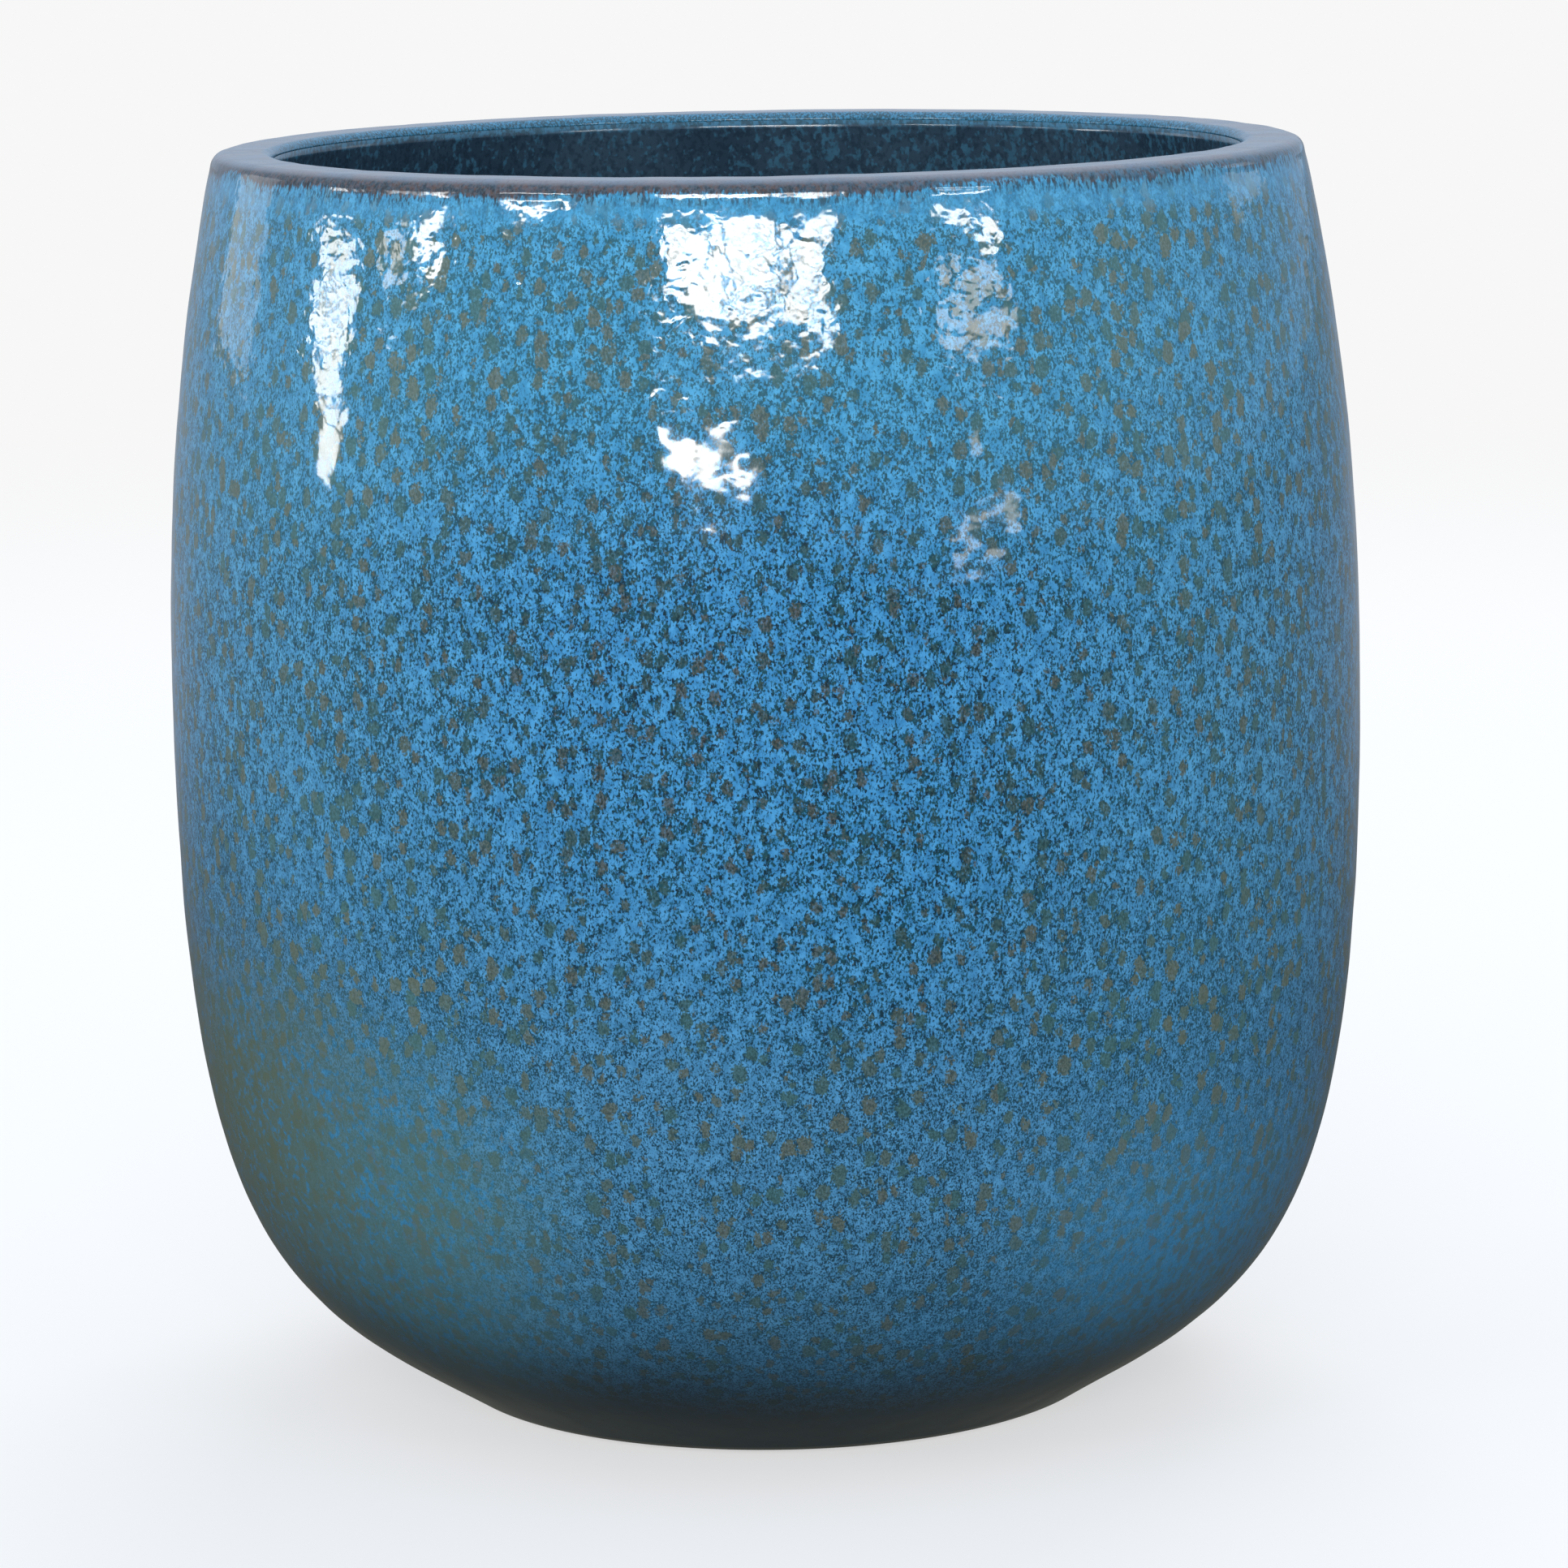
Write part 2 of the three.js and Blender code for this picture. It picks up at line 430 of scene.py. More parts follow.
def build_felt_pad(number):
    """A felt disc: soft rounded edges, a slightly uneven face and a worn, furry rim."""
    low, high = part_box(f"foot_pad_{number}")
    centre = (low + high) / 2
    thickness = high.z - low.z
    half = thickness / 2
    edge = np.linspace(-math.pi / 2, math.pi / 2, 13)
    side = np.stack(
        [
            PAD_RADIUS - PAD_EDGE + PAD_EDGE * np.cos(edge),
            half + (half - PAD_EDGE) * np.sign(np.sin(edge)) * (np.abs(np.sin(edge)) > 0.01)
            + PAD_EDGE * np.sin(edge),
        ],
        axis=1,
    )
    bottom = line(np.array([0, 0]), np.array([PAD_RADIUS - PAD_EDGE, 0]), 14)
    top = line(np.array([PAD_RADIUS - PAD_EDGE, thickness]), np.array([0, thickness]), 14)
    outline = joined(bottom, side, top)
    turn = np.arange(PAD_ROUND_STEPS) / PAD_ROUND_STEPS * 2 * math.pi
    draw = np.random.default_rng(100 + number)
    vertices = [(0, 0, 0), (0, 0, thickness)]
    for radius, z in outline[1:-1]:
        share = radius / PAD_RADIUS
        fluff = draw.uniform(-1, 0, PAD_ROUND_STEPS) * PAD_FLUFF * share
        sink = draw.uniform(0, 1, PAD_ROUND_STEPS) * PAD_WEAR
        lift = sink if z < half else -sink
        for angle, loose, move in zip(turn, fluff, lift):
            x = (radius + loose) * math.cos(angle)
            y = (radius + loose) * math.sin(angle)
            vertices.append((x, y, z + move))
    faces = []
    rings = len(outline) - 2
    for column in range(PAD_ROUND_STEPS):
        after = (column + 1) % PAD_ROUND_STEPS
        faces.append((0, 2 + after, 2 + column))
        for ring in range(rings - 1):
            here = 2 + ring * PAD_ROUND_STEPS
            above = here + PAD_ROUND_STEPS
            faces.append((here + column, here + after, above + after, above + column))
        last = 2 + (rings - 1) * PAD_ROUND_STEPS
        faces.append((1, last + column, last + after))
    mesh = bpy.data.meshes.new(f"felt_pad_{number}")
    mesh.from_pydata(vertices, [], faces)
    mesh.transform(Matrix.Translation((centre.x, centre.y, low.z)))
    mesh.polygons.foreach_set("use_smooth", [True] * len(mesh.polygons))
    mesh.update()
    piece = bpy.data.objects.new(f"felt_pad_{number}", mesh)
    bpy.context.scene.collection.objects.link(piece)
    return piece


# ---------------------------------------------------------------- materials

def rgb(red, green, blue):
    """Linear colour from the usual 0 to 255 numbers."""
    shares = [value / 255 for value in (red, green, blue)]
    linear = [s / 12.92 if s <= 0.04045 else ((s + 0.055) / 1.055) ** 2.4 for s in shares]
    return (*linear, 1.0)


class Graph:
    """Short calls that add shader nodes to one node tree."""

    def __init__(self, tree):
        self.tree = tree
        tree.nodes.clear()

    def add(self, kind, inputs=None, **settings):
        node = self.tree.nodes.new(kind)
        for name, value in settings.items():
            setattr(node, name, value)
        for name, value in (inputs or {}).items():
            self.put(node.inputs[name], value)
        return node

    def put(self, socket, value):
        if isinstance(value, bpy.types.NodeSocket):
            self.tree.links.new(value, socket)
        else:
            socket.default_value = value

    def math(self, operation, first, second=0.0, clamp=False):
        node = self.add("ShaderNodeMath", operation=operation, use_clamp=clamp)
        self.put(node.inputs[0], first)
        self.put(node.inputs[1], second)
        return node.outputs[0]

    def minus(self, first, second):
        return self.math("SUBTRACT", first, second)

    def inverse(self, share):
        return self.math("SUBTRACT", 1.0, share)

    def plus(self, *terms):
        total = terms[0]
        for term in terms[1:]:
            total = self.math("ADD", total, term)
        return total

    def times(self, first, second):
        return self.math("MULTIPLY", first, second)

    def around_zero(self, value, amount):
        """A 0 to 1 noise as a swing of plus or minus half of amount."""
        return self.times(self.math("SUBTRACT", value, 0.5), amount)

    def blend(self, share, first, second):
        return self.plus(first, self.times(share, self.minus(second, first)))

    def step(self, value, low, high):
        """0 below low and 1 above high, with a smooth ramp between them."""
        node = self.add("ShaderNodeMapRange", interpolation_type="SMOOTHSTEP")
        self.put(node.inputs["Value"], value)
        if isinstance(high, (int, float)) and isinstance(low, (int, float)) and low > high:
            node.inputs["To Min"].default_value = 1.0
            node.inputs["To Max"].default_value = 0.0
            low, high = high, low
        self.put(node.inputs["From Min"], low)
        self.put(node.inputs["From Max"], high)
        return node.outputs["Result"]

    def noise(self, vector, size, detail=2.0, roughness=0.5):
        """Soft random marks of about that size in metres."""
        node = self.add(
            "ShaderNodeTexNoise",
            {"Vector": vector, "Scale": 1 / size, "Detail": detail, "Roughness": roughness},
        )
        return node.outputs["Fac"]

    def cells(self, vector, size):
        """Distance in metres to the nearest scattered point, and two random numbers for that point."""
        node = self.add("ShaderNodeTexVoronoi", {"Vector": vector, "Scale": 1 / size})
        split = self.add("ShaderNodeSeparateColor", {"Color": node.outputs["Color"]})
        return self.times(node.outputs["Distance"], size), split.outputs[0], split.outputs[1]

    def scaled(self, vector, x, y, z):
        node = self.add("ShaderNodeVectorMath", operation="MULTIPLY")
        self.put(node.inputs[0], vector)
        node.inputs[1].default_value = (x, y, z)
        return node.outputs[0]

    def shifted(self, vector, push):
        node = self.add("ShaderNodeVectorMath", operation="ADD")
        self.put(node.inputs[0], vector)
        self.put(node.inputs[1], push)
        return node.outputs[0]

    def warped(self, vector, size, amount):
        """The vector pushed about by a coloured noise of that size, by up to about amount metres."""
        noise = self.add("ShaderNodeTexNoise", {"Vector": vector, "Scale": 1 / size, "Detail": 2.0})
        centred = self.add("ShaderNodeVectorMath", operation="SUBTRACT")
        self.put(centred.inputs[0], noise.outputs["Color"])
        centred.inputs[1].default_value = (0.5, 0.5, 0.5)
        push = self.add("ShaderNodeVectorMath", operation="SCALE")
        self.put(push.inputs[0], centred.outputs[0])
        push.inputs["Scale"].default_value = amount
        return self.shifted(vector, push.outputs[0])

    def mix(self, share, first, second):
        node = self.add("ShaderNodeMix", data_type="RGBA")
        self.put(node.inputs[0], share)
        self.put(node.inputs[6], first)
        self.put(node.inputs[7], second)
        return node.outputs[2]

    def bump(self, height, distance):
        node = self.add("ShaderNodeBump", {"Height": height, "Distance": distance, "Strength": 1.0})
        return node.outputs["Normal"]


def new_material(name):
    material = bpy.data.materials.new(name)
    material.use_nodes = True
    return material, Graph(material.node_tree)


def finish_surface(graph, **inputs):
    shader = graph.add("ShaderNodeBsdfPrincipled", inputs)
    graph.add("ShaderNodeOutputMaterial", {"Surface": shader.outputs[0]})


def place_height_sideways(graph):
    """Object coordinates, the height above the foot ring, and how far along +X, in metres."""
    place = graph.add("ShaderNodeTexCoord").outputs["Object"]
    split = graph.add("ShaderNodeSeparateXYZ", {"Vector": place})
    height = graph.math("SUBTRACT", split.outputs["Z"], FOOT_Z)
    return place, height, split.outputs["X"]


def glaze_marks(g):
    """The places, slow noises and zones that the parts of the blue glaze share."""
    place, height, sideways = place_height_sideways(g)
    running = g.scaled(place, 1, 1, 0.74)  # the melt runs down the wall, so marks are longer upright
    clouds = g.noise(place, 60 * MM, 2, 0.55)
    patches = g.noise(running, 13 * MM, 2, 0.5)
    clusters = g.noise(running, 2.1 * MM, 2, 0.55)
    fuzz = g.noise(place, 0.75 * MM, 2, 0.6)
    wander = g.noise(place, 90 * MM, 1, 0.5)

    # Zones: the two sides, low on the wall, low on the two sides, near the lip, and the foot. Below they
    # carry painted light: a painted reflection veil at the sides, near the lip and low down, and painted
    # shade at the foot.
    side = g.step(g.math("ABSOLUTE", sideways), 35 * MM, 125 * MM)
    low_height = g.plus(height, g.around_zero(wander, 60 * MM), g.times(sideways, 0.12))
    low = g.step(low_height, 185 * MM, 90 * MM)
    left_reach = g.step(sideways, -30 * MM, -85 * MM)
    right_reach = g.step(sideways, 40 * MM, 100 * MM)
    reach = g.math("MAXIMUM", left_reach, right_reach)
    low_side = g.times(g.step(low_height, 115 * MM, 65 * MM), reach)
    top = g.step(g.plus(height, g.around_zero(wander, 80 * MM)), 205 * MM, 265 * MM)
    foot = g.step(g.plus(height, g.around_zero(wander, 26 * MM)), 46 * MM, 10 * MM)

    # How much softer the specks are there, and how much paler the blooms: the strength of a painted
    # reflection veil
    veil_calm = g.plus(g.times(side, 0.35), g.times(top, 0.55), g.times(low_side, 0.4))
    pale = g.plus(g.times(side, 0.8), g.times(top, 0.6), g.times(low, 0.6))
    pale = g.math("MINIMUM", pale, 1.0)
    return SimpleNamespace(
        place=place, height=height, sideways=sideways, running=running,
        clouds=clouds, patches=patches, clusters=clusters, fuzz=fuzz,
        side=side, low=low, low_side=low_side, top=top, foot=foot, veil_calm=veil_calm, pale=pale,
    )


def azure_ground(g, marks):
    """Azure, mottled paler where the melt is thick, with its own tone at the top; paler at the sides and
    greyer low on the wall, where a painted reflection veil lies over it.
    """
    tone = g.step(g.noise(marks.running, 2.4 * MM, 3, 0.6), 0.34, 0.68)
    azure = g.mix(tone, rgb(54, 132, 185), rgb(77, 160, 214))
    top_azure = g.mix(tone, rgb(59, 141, 184), rgb(83, 169, 212))
    # Paler azure at the sides and greyer azure low down are painted reflection of the grey the glaze
    # mirrors there
    side_azure_and_reflection = g.mix(tone, rgb(76, 147, 187), rgb(95, 173, 214))
    low_azure_and_reflection = g.mix(tone, rgb(72, 134, 176), rgb(88, 157, 204))
    azure = g.mix(marks.top, azure, top_azure)
    azure = g.mix(g.times(marks.side, 0.75), azure, side_azure_and_reflection)
    return g.mix(marks.low, azure, low_azure_and_reflection)


def scattered_blooms(g, marks):
    """Distances to the nearest bloom's middle and beyond its edge, and a random number for it."""
    distance, size, pick = g.cells(g.warped(marks.running, 2.4 * MM, 2.2 * MM), 3.8 * MM)
    distance = g.plus(distance, g.around_zero(marks.fuzz, 2.6 * MM))
    large = g.times(size, g.plus(1.0 * MM, g.times(marks.pale, 0.5 * MM)))
    edge = g.plus(0.72 * MM, large, g.around_zero(marks.clusters, 1.2 * MM))
    return distance, g.minus(distance, edge), pick


def speck_grain(g, marks):
    """The noise behind the specks, finer low on the wall."""
    wandering = g.warped(marks.running, 1.3 * MM, 0.5 * MM)
    dashes = g.noise(g.scaled(wandering, 1, 1, 0.6), 0.46 * MM, 2.0, 0.6)
    coarse = g.blend(0.35, g.noise(wandering, 0.56 * MM, 2.0, 0.55), dashes)
    fine = g.noise(wandering, 0.38 * MM, 1.5, 0.55)
    return g.blend(g.plus(0.05, g.times(marks.low, 0.45)), coarse, fine)


def dark_specks(g, marks, grain, beyond_bloom):
    """How much of the ground dark specks cover, in chains and clusters, and their colour."""
    near_bloom = g.step(beyond_bloom, 1.0 * MM, -0.2 * MM)
    crowd = g.plus(
        grain,
        g.times(g.around_zero(marks.clusters, 0.31), g.minus(1.0, g.times(marks.low, 0.4))),
        g.around_zero(marks.patches, 0.05),
        g.around_zero(marks.clouds, 0.05),
        g.times(near_bloom, g.minus(0.045, g.times(marks.low, 0.025))),
    )
    softness = g.plus(0.065, g.times(marks.veil_calm, 0.02), g.times(marks.low, 0.008))
    level = g.minus(0.520, g.times(marks.low, 0.008))
    share = g.step(crowd, g.minus(level, softness), g.plus(level, softness))
    share = g.times(share, g.minus(0.98, g.times(marks.veil_calm, 0.15)))
    depth = g.noise(marks.place, 1.3 * MM, 2, 0.6)
    colour = g.mix(g.step(depth, 0.35, 0.62), rgb(2, 30, 40), rgb(20, 72, 82))
    # Greyer specks low down and paler teal specks under the veil: painted reflection
    colour = g.mix(g.times(marks.low, 0.6), colour, rgb(38, 70, 88))
    veil_calm_share = g.math("MINIMUM", g.times(marks.veil_calm, 0.75), 0.8)
    return share, g.mix(veil_calm_share, colour, rgb(54, 106, 114))


def bloom_colour(g, marks, grain, distance, pick, azure, speck_colour):
    """Olive, with some browner middles; specks and flecks of azure show through."""
    hue = g.step(pick, 0.2, 0.8)
    olive = g.mix(hue, rgb(52, 82, 80), rgb(82, 84, 72))
    pale_olive = g.mix(hue, rgb(78, 116, 112), rgb(108, 118, 98))
    # The paler olive is where the painted reflection veil lies over the blooms
    colour = g.mix(marks.pale, olive, pale_olive)
    heart = g.times(g.step(distance, 1.2 * MM, 0.0), g.step(pick, 0.55, 0.85))
    heart = g.times(heart, g.minus(0.45, g.times(marks.pale, 0.25)))
    colour = g.mix(heart, colour, rgb(88, 80, 68))
    spotted = g.times(g.step(grain, 0.45, 0.59), g.minus(0.85, g.times(marks.pale, 0.50)))
    colour = g.mix(spotted, colour, speck_colour)
    gaps = g.times(g.step(grain, 0.44, 0.34), g.minus(0.6, g.times(marks.pale, 0.35)))
    return g.mix(gaps, colour, azure)


def painted_veil_and_shade_below(g, marks, colour, bloom):
    """Painted light low on the wall: a painted reflection veil low on both sides, olive-grey on the left
    and bluer on the right, a painted olive sheen at the lower left edge, then slate and dark navy towards
    the foot, partly the glaze's own colour and partly painted shade.
    """
    veil_mottle = g.noise(marks.place, 2.2 * MM, 2.5, 0.6)
    veil_mottle = g.plus(veil_mottle, g.around_zero(marks.fuzz, 0.25), g.around_zero(marks.patches, 0.3))
    left_reflected_veil = g.mix(g.step(veil_mottle, 0.37, 0.49), rgb(60, 134, 174), rgb(84, 123, 122))
    right_reflected_veil = g.mix(g.step(veil_mottle, 0.44, 0.62), rgb(65, 147, 197), rgb(86, 133, 147))
    reflected_veil = g.mix(g.step(marks.sideways, -60 * MM, 60 * MM), left_reflected_veil, right_reflected_veil)
    reflected_veil = g.mix(g.times(bloom, 0.45), reflected_veil, rgb(98, 108, 94))
    # Low on both sides a painted reflection veil lies over the glaze
    colour = g.mix(g.times(marks.low_side, 0.76), colour, reflected_veil)
    # A painted olive sheen along the lower left edge: painted reflection
    left_edge_sheen = g.step(marks.sideways, -85 * MM, -130 * MM)
    left_edge_sheen = g.times(left_edge_sheen, g.step(marks.height, 150 * MM, 85 * MM))
    left_edge_sheen = g.times(left_edge_sheen, g.step(veil_mottle, 0.30, 0.52))
    colour = g.mix(g.times(left_edge_sheen, 0.65), colour, rgb(98, 108, 86))
    # Darker towards the bottom: slate low on the wall and dark navy at the foot, partly the glaze's own
    # colour there and partly painted shade and a painted reflection of the dark floor
    slate = g.mix(g.step(marks.patches, 0.36, 0.62), rgb(42, 72, 84), rgb(42, 94, 126))
    slate_share = g.times(g.step(marks.height, 75 * MM, 35 * MM), 0.35)
    colour = g.mix(slate_share, colour, slate)
    return g.mix(g.times(marks.foot, 0.88), colour, rgb(26, 43, 56))


def broken_over_lip(g, marks, colour, grain):
    """The lip's outer corner, where the glaze runs thin and breaks to brown above dark drips."""
    corner_height = RIM_HEIGHT - LIP_OUTER_CORNER
    streaks = g.noise(g.scaled(marks.place, 1, 1, 0.28), 0.8 * MM, 2, 0.6)
    reach = g.noise(marks.place, 30 * MM, 2, 0.5)
    level = g.plus(marks.height, g.around_zero(streaks, 5 * MM), g.around_zero(reach, 8 * MM))
    sparse = g.step(marks.sideways, 0.0, 70 * MM)
    level = g.minus(level, g.times(sparse, 1.0 * MM))
    drips = g.step(level, corner_height - 3.0 * MM, corner_height + 0.2 * MM)
    drips = g.times(drips, g.step(streaks, 0.48, 0.60))
    colour = g.mix(g.times(drips, 0.75), colour, rgb(40, 62, 70))
    rust = g.noise(marks.place, 1.5 * MM, 2, 0.6)
    brown = g.mix(g.step(rust, 0.40, 0.62), rgb(42, 40, 42), rgb(90, 66, 56))
    brown = g.mix(g.times(g.step(grain, 0.46, 0.58), 0.5), brown, rgb(84, 94, 102))
    broken = g.step(level, corner_height + 0.1 * MM, corner_height + 1.2 * MM)
    return g.mix(g.times(broken, g.minus(0.90, g.times(sparse, 0.25))), colour, brown), broken


def lip_top_and_inside(g, marks, colour, grain):
    """The lip's grey, mottled top, partly a painted reflection of the grey sky, and azure again over its
    inner corner, where the coat is thick.
    """
    upper = g.step(marks.height, RIM_HEIGHT - 1.7 * MM, RIM_HEIGHT - 0.4 * MM)
    # The grey is partly a painted reflection of the grey sky on the lip's thin glaze
    grey = g.mix(g.step(marks.patches, 0.36, 0.64), rgb(122, 123, 130), rgb(108, 122, 138))
    grey = g.mix(g.times(g.step(marks.fuzz, 0.48, 0.66), 0.35), grey, rgb(86, 88, 96))
    colour = g.mix(upper, colour, grey)
    radius = g.add("ShaderNodeVectorMath", {0: g.scaled(marks.place, 1, 1, 0)}, operation="LENGTH")
    inward = g.plus(radius.outputs["Value"], g.around_zero(marks.patches, 3 * MM))
    inner = g.step(inward, MOUTH_RADIUS + 2.8 * MM, MOUTH_RADIUS + 0.8 * MM)
    inner = g.times(inner, g.step(marks.height, 250 * MM, 300 * MM))
    inner_colour = g.mix(g.step(grain, 0.42, 0.56), rgb(66, 140, 178), rgb(42, 84, 100))
    return g.mix(g.times(inner, 0.85), colour, inner_colour)


def glaze_relief(g, marks, high):
    """Slow swells, ripples that are stronger high on the wall, and patches of finer peel there."""
    swell = g.noise(marks.place, 8 * MM, 1, 0.5)
    ripple = g.noise(g.warped(marks.place, 5 * MM, 4 * MM), 3.4 * MM, 1, 0.5)
    peel = g.noise(marks.place, 1.9 * MM, 1, 0.5)
    uneven = g.step(g.noise(marks.place, 26 * MM, 1, 0.5), 0.42, 0.60)
    ripple_share = g.plus(0.10, g.times(high, g.plus(0.45, g.times(uneven, 0.45))))
    peel_share = g.plus(0.03, g.times(g.times(uneven, high), 0.10))
    relief = g.plus(swell, g.times(ripple, ripple_share), g.times(peel, peel_share))
    return g.bump(relief, 0.11 * MM)


def blue_glaze():
    material, g = new_material("blue_reactive_glaze")
    marks = glaze_marks(g)
    azure = azure_ground(g, marks)
    grain = speck_grain(g, marks)
    distance, beyond_bloom, pick = scattered_blooms(g, marks)
    speck, speck_colour = dark_specks(g, marks, grain, beyond_bloom)
    colour = g.mix(speck, azure, speck_colour)
    bloom = g.step(beyond_bloom, 0.10 * MM, -0.35 * MM)
    olive = bloom_colour(g, marks, grain, distance, pick, azure, speck_colour)
    colour = g.mix(g.times(bloom, 0.88), colour, olive)
    colour = painted_veil_and_shade_below(g, marks, colour, bloom)

    # A clearer azure band under the lip
    corner_height = RIM_HEIGHT - LIP_OUTER_CORNER
    clear = g.step(marks.height, corner_height - 8 * MM, corner_height - 2 * MM)
    colour = g.mix(g.times(clear, 0.55), colour, azure)
    colour, broken = broken_over_lip(g, marks, colour, grain)
    colour = lip_top_and_inside(g, marks, colour, grain)

    high = g.step(marks.height, 256 * MM, 270 * MM)
    normal = glaze_relief(g, marks, high)
    roughness = g.plus(
        0.032, g.times(marks.clouds, 0.03), g.times(high, 0.015), g.times(broken, 0.05)
    )
    finish_surface(g, **{"Base Color": colour, "Roughness": roughness, "Normal": normal, "IOR": 1.5})
    return material


def liner_glaze():
    material, g = new_material("dark_liner_glaze")
    place, height, sideways = place_height_sideways(g)
    running = g.scaled(place, 1, 1, 0.8)
    clouds = g.noise(place, 45 * MM, 2, 0.55)
    patches = g.noise(place, 9 * MM, 2, 0.5)
    ground = g.mix(g.step(clouds, 0.38, 0.64), rgb(38, 56, 71), rgb(50, 70, 85))
    mottle = g.noise(running, 1.5 * MM, 2.5, 0.6)
    ground = g.mix(g.times(g.step(mottle, 0.46, 0.60), 0.5), ground, rgb(26, 39, 50))

    # Soft blue specks, thicker on one side
    grain = g.noise(g.shifted(running, (0.3, 0.1, 0.2)), 1.7 * MM, 2.5, 0.55)
    crowd = g.plus(
        grain,
        g.around_zero(patches, 0.30),
        g.times(g.step(sideways, -40 * MM, 100 * MM), 0.05),
    )
    speck = g.step(crowd, 0.52, 0.70)
    fleck = g.mix(g.noise(place, 4 * MM, 1), rgb(50, 88, 108), rgb(66, 118, 144))
    colour = g.mix(g.times(speck, 0.6), ground, fleck)

    # The first few millimetres under the lip are teal, where the two glazes run together
    edge_level = g.plus(height, g.around_zero(grain, 2 * MM), g.around_zero(patches, 2 * MM))
    edge = g.step(edge_level, RIM_HEIGHT - 4.6 * MM, RIM_HEIGHT - 2.8 * MM)
    teal = g.mix(g.step(mottle, 0.42, 0.58), rgb(58, 120, 150), rgb(40, 80, 96))
    colour = g.mix(g.times(edge, 0.75), colour, teal)

    relief = g.plus(g.noise(place, 8 * MM, 1, 0.5), g.times(g.noise(place, 2.3 * MM, 1, 0.5), 0.25))
    normal = g.bump(relief, 0.14 * MM)
    roughness = g.plus(0.10, g.times(clouds, 0.08))
    finish_surface(g, **{"Base Color": colour, "Roughness": roughness, "Normal": normal, "IOR": 1.5})
    return material


def bare_clay():
    material, g = new_material("bare_stoneware")
    place, _, _ = place_height_sideways(g)
    clouds = g.noise(place, 25 * MM, 3, 0.6)
    colour = g.mix(g.step(clouds, 0.35, 0.65), rgb(176, 150, 124), rgb(198, 174, 146))
    sand = g.noise(place, 0.7 * MM, 2, 0.7)
    colour = g.mix(g.times(g.step(sand, 0.52, 0.70), 0.35), colour, rgb(140, 112, 88))
    iron_distance, iron_pick, _ = g.cells(place, 2.4 * MM)
    iron = g.inverse(g.step(iron_distance, 0.22 * MM, 0.55 * MM))
    iron = g.times(iron, g.step(iron_pick, 0.62, 0.70))
    colour = g.mix(g.times(iron, 0.8), colour, rgb(62, 42, 32))
    relief = g.plus(g.noise(place, 0.7 * MM, 3, 0.7), g.times(g.noise(place, 4 * MM, 2, 0.5), 0.8))
    normal = g.bump(relief, 0.22 * MM)
    roughness = g.plus(0.72, g.times(sand, 0.2))
    finish_surface(g, **{"Base Color": colour, "Roughness": roughness, "Normal": normal})
    return material


def dark_felt():
    material, g = new_material("dark_grey_felt")
    place, _, _ = place_height_sideways(g)
    matted = g.warped(place, 1.1 * MM, 1.0 * MM)
    fibres = g.noise(g.scaled(matted, 1, 0.25, 1), 0.4 * MM, 3, 0.7)
    cross = g.noise(g.scaled(matted, 0.25, 1, 1), 0.4 * MM, 3, 0.7)
    weave = g.math("MAXIMUM", fibres, cross)
    colour = g.mix(g.step(weave, 0.45, 0.72), rgb(44, 43, 43), rgb(92, 90, 88))
    lint = g.step(g.noise(place, 0.6 * MM, 2, 0.6), 0.64, 0.74)
    colour = g.mix(g.times(lint, 0.5), colour, rgb(128, 124, 118))
    normal = g.bump(weave, 0.25 * MM)
    roughness = g.plus(0.86, g.times(weave, 0.12))
    finish_surface(
        g, **{"Base Color": colour, "Roughness": roughness, "Normal": normal, "Sheen Weight": 0.3}
    )
    return material


# ---------------------------------------------------------------- pieces

def put_in_frame(piece, node, material):
    piece.data.materials.append(material)
    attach(piece, "root")
    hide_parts(node)


def build_vase():
    put_in_frame(build_outer_coat(), "outer_glaze", blue_glaze())
    put_in_frame(build_liner(), "inner_glaze", liner_glaze())
    put_in_frame(build_clay_body(), "stoneware_body", bare_clay())
    felt = dark_felt()
    for number in range(1, 5):
        put_in_frame(build_felt_pad(number), f"foot_pad_{number}", felt)


# ---------------------------------------------------------------- stage, lights and camera

BACKDROP = (0.93, 0.93, 0.93, 1)  # what the camera sees behind the vase
LIGHTS_FACE = Vector((0, 0, 0.25))  # a point inside the vase's upper wall


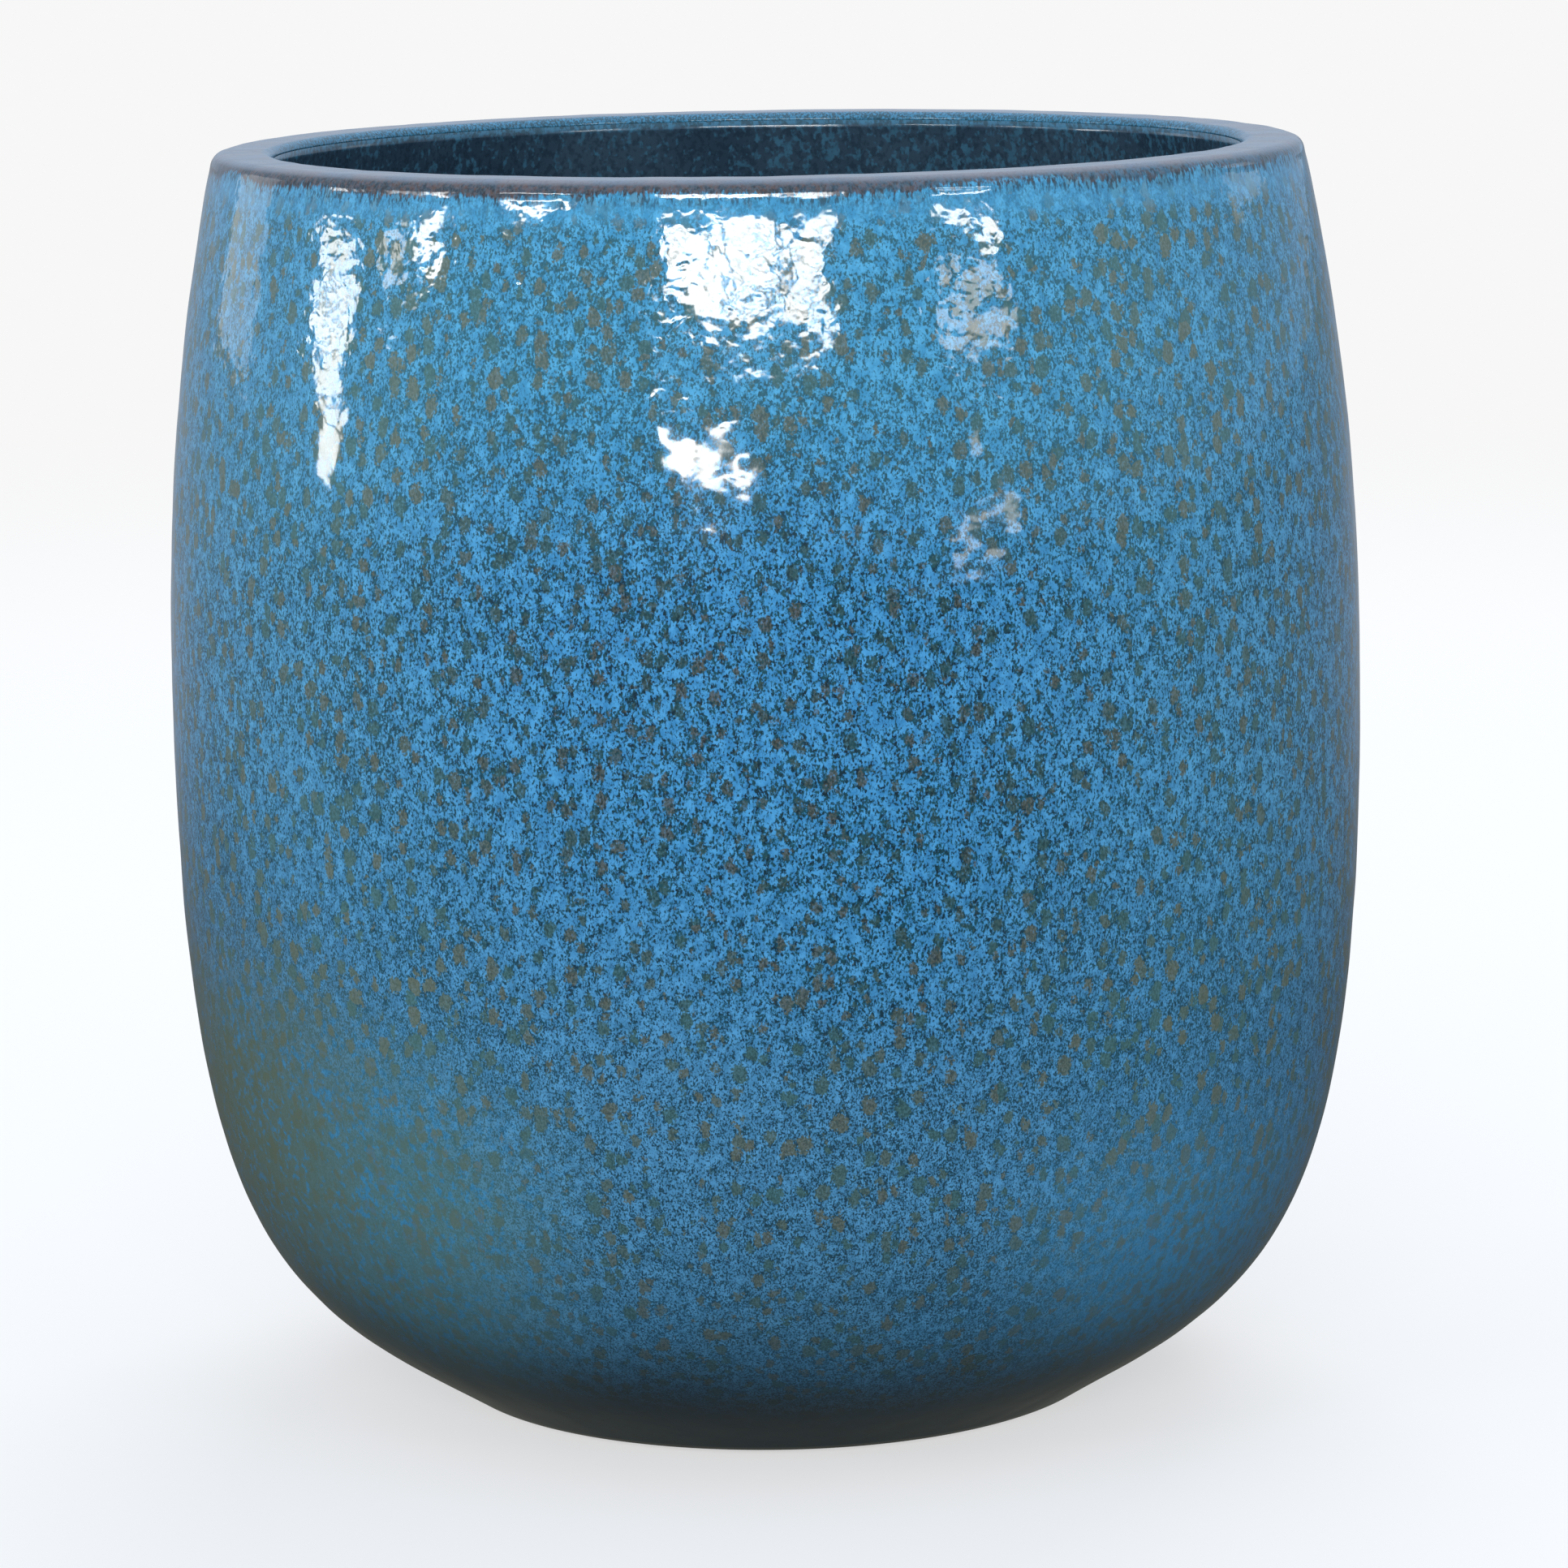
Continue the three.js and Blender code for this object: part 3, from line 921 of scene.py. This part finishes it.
def build_floor():
    """A pale floor. Only the camera sees it pale: the glaze mirrors a grey studio floor."""
    reach = 60
    mesh = bpy.data.meshes.new("studio_floor")
    corners = [(-reach, -reach, 0), (reach, -reach, 0), (reach, reach, 0), (-reach, reach, 0)]
    mesh.from_pydata(corners, [], [(0, 1, 2, 3)])
    floor = bpy.data.objects.new("studio_floor", mesh)
    bpy.context.scene.collection.objects.link(floor)
    material, g = new_material("pale_studio_floor")
    place = g.add("ShaderNodeTexCoord").outputs["Object"]
    distance = g.add("ShaderNodeVectorMath", {0: place}, operation="LENGTH").outputs["Value"]
    glow = g.add("ShaderNodeEmission", {"Color": (1, 1, 1, 1), "Strength": 0.58})
    matte = g.add("ShaderNodeBsdfDiffuse", {"Color": (0.34, 0.34, 0.34, 1)})
    near = g.add("ShaderNodeAddShader", {0: glow.outputs[0], 1: matte.outputs[0]})
    backdrop = g.add("ShaderNodeEmission", {"Color": BACKDROP})
    pale = g.add(
        "ShaderNodeMixShader",
        {0: g.step(distance, 0.5, 2.2), 1: near.outputs[0], 2: backdrop.outputs[0]},
    )
    # For the rays the glaze mirrors and for bounce light the floor glows: dark near the vase, a painted
    # shadow, grey further out, and dimmer towards +X
    mirrored = g.mix(g.step(distance, 0.25, 1.5), (0.11, 0.115, 0.10, 1), (0.35, 0.39, 0.45, 1))
    sideways = g.add("ShaderNodeSeparateXYZ", {"Vector": place}).outputs["X"]
    dimmer = g.inverse(g.times(g.step(sideways, -3.0, 3.0), 0.3))
    grey = g.add("ShaderNodeEmission", {"Color": mirrored, "Strength": dimmer})
    seen = g.add("ShaderNodeLightPath").outputs["Is Camera Ray"]
    surface = g.add("ShaderNodeMixShader", {0: seen, 1: grey.outputs[0], 2: pale.outputs[0]})
    g.add("ShaderNodeOutputMaterial", {"Surface": surface.outputs[0]})
    material.cycles.emission_sampling = "NONE"
    mesh.materials.append(material)


def build_world():
    world = bpy.data.worlds.new("studio")
    world.use_nodes = True
    bpy.context.scene.world = world
    g = Graph(world.node_tree)
    direction = g.add("ShaderNodeTexCoord").outputs["Generated"]
    up = g.add("ShaderNodeSeparateXYZ", {"Vector": direction}).outputs["Z"]
    sky = g.mix(g.step(up, 0.05, 0.9), (0.42, 0.50, 0.62, 1), (0.70, 0.80, 0.95, 1))
    seen = g.add("ShaderNodeLightPath").outputs["Is Camera Ray"]
    colour = g.mix(seen, sky, BACKDROP)
    background = g.add("ShaderNodeBackground", {"Color": colour})
    g.add("ShaderNodeOutputWorld", {"Surface": background.outputs[0]})


def add_softbox(name, place, width, height, roll, radiance):
    """A flat light facing the vase's upper wall. roll is in degrees about the way it faces.

    radiance is how bright the light itself looks, where a lit white surface is about 1.
    """
    light = bpy.data.lights.new(name, "AREA")
    light.shape = "RECTANGLE"
    light.size = width
    light.size_y = height
    light.energy = radiance * math.pi * width * height
    softbox = bpy.data.objects.new(name, light)
    facing = (LIGHTS_FACE - Vector(place)).to_track_quat("-Z", "Y").to_matrix()
    turn = facing @ Matrix.Rotation(math.radians(roll), 3, "Z")
    softbox.matrix_world = Matrix.Translation(place) @ turn.to_4x4()
    softbox.visible_camera = False
    bpy.context.scene.collection.objects.link(softbox)
    return softbox


def build_lights():
    # A high window of many panes, with bars between them
    add_softbox("window_top_left", (-0.745, -2.90, 1.235), 0.56, 0.120, -2, 28)
    add_softbox("window_top_middle", (-0.135, -2.90, 1.240), 0.56, 0.125, 1, 28)
    add_softbox("window_top_right", (0.455, -2.90, 1.215), 0.48, 0.110, 2, 26)
    add_softbox("window_left", (-0.720, -2.90, 1.095), 0.62, 0.115, 2, 28)
    add_softbox("window_middle", (-0.080, -2.90, 1.090), 0.54, 0.120, -2, 28)
    add_softbox("window_right", (0.500, -2.90, 1.080), 0.42, 0.110, 3, 24)
    add_softbox("window_sill_left", (-0.260, -2.98, 0.990), 0.66, 0.070, -3, 28)
    add_softbox("window_sill_right", (0.400, -2.98, 0.968), 0.54, 0.085, -3, 24)
    # Windows on the left
    add_softbox("left_window", (-3.05, 0.16, 0.75), 0.56, 0.09, 0, 13)
    add_softbox("left_window_middle", (-3.05, 0.10, 0.625), 0.50, 0.12, 3, 15)
    add_softbox("left_window_low", (-3.06, 0.05, 0.49), 0.38, 0.11, 0, 14)
    add_softbox("left_window_foot", (-3.06, 0.02, 0.36), 0.22, 0.12, 0, 14)
    add_softbox("left_top_window", (-2.795, -1.09, 1.01), 0.30, 0.13, 24, 24)
    add_softbox("left_top_pane", (-2.95, -0.70, 0.885), 0.26, 0.19, 24, 8)
    add_softbox("left_high_window", (-2.12, -2.05, 1.375), 0.66, 0.10, 6, 32)
    # A low strip under the high window
    add_softbox("low_strip_left", (-0.84, -3.02, 0.575), 0.46, 0.105, -14, 32)
    add_softbox("low_strip_right", (-0.42, -3.12, 0.525), 0.54, 0.055, 2, 32)
    # Fainter lights on the right
    add_softbox("right_window", (2.05, -2.28, 0.93), 0.72, 0.22, 0, 6.5)
    add_softbox("right_middle", (1.93, -2.32, 0.54), 0.16, 0.08, 20, 5)
    add_softbox("right_low_strip", (2.02, -2.30, 0.305), 0.72, 0.045, 5, 6)
    add_softbox("right_high_strip", (2.0, -2.2, 1.255), 0.72, 0.085, -16, 24)
    # Faint veils at both edges, and a fill from behind that isn't mirrored
    add_softbox("left_far_veil", (-2.55, 1.90, 0.75), 0.90, 0.90, 0, 0.9)
    add_softbox("right_far_veil", (2.72, 1.45, 0.95), 0.80, 0.60, 0, 0.7)
    back_fill = add_softbox("back_fill", (0.6, 2.4, 2.6), 2.4, 1.2, 0, 6)
    back_fill.visible_glossy = False


def build_camera():
    """The view from slightly above the rim, level apart from a small roll."""
    distance = 1.50012
    height = 0.41192
    tilt = math.radians(9.797)
    turn = math.radians(0.153)
    roll = math.radians(-0.9326)
    lens = bpy.data.cameras.new("camera")
    lens.sensor_width = 36
    lens.lens = 137.52
    lens.clip_end = 200
    camera = bpy.data.objects.new("camera", lens)
    aim = Matrix.Rotation(-turn, 3, "Z") @ Matrix.Rotation(math.pi / 2 - tilt, 3, "X")
    aim = aim @ Matrix.Rotation(roll, 3, "Z")
    camera.matrix_world = Matrix.Translation((0, -distance, height)) @ aim.to_4x4()
    bpy.context.scene.collection.objects.link(camera)
    bpy.context.scene.camera = camera


build_camera()
build_world()
build_floor()
build_lights()
build_vase()

bpy.context.scene.view_settings.view_transform = "Standard"
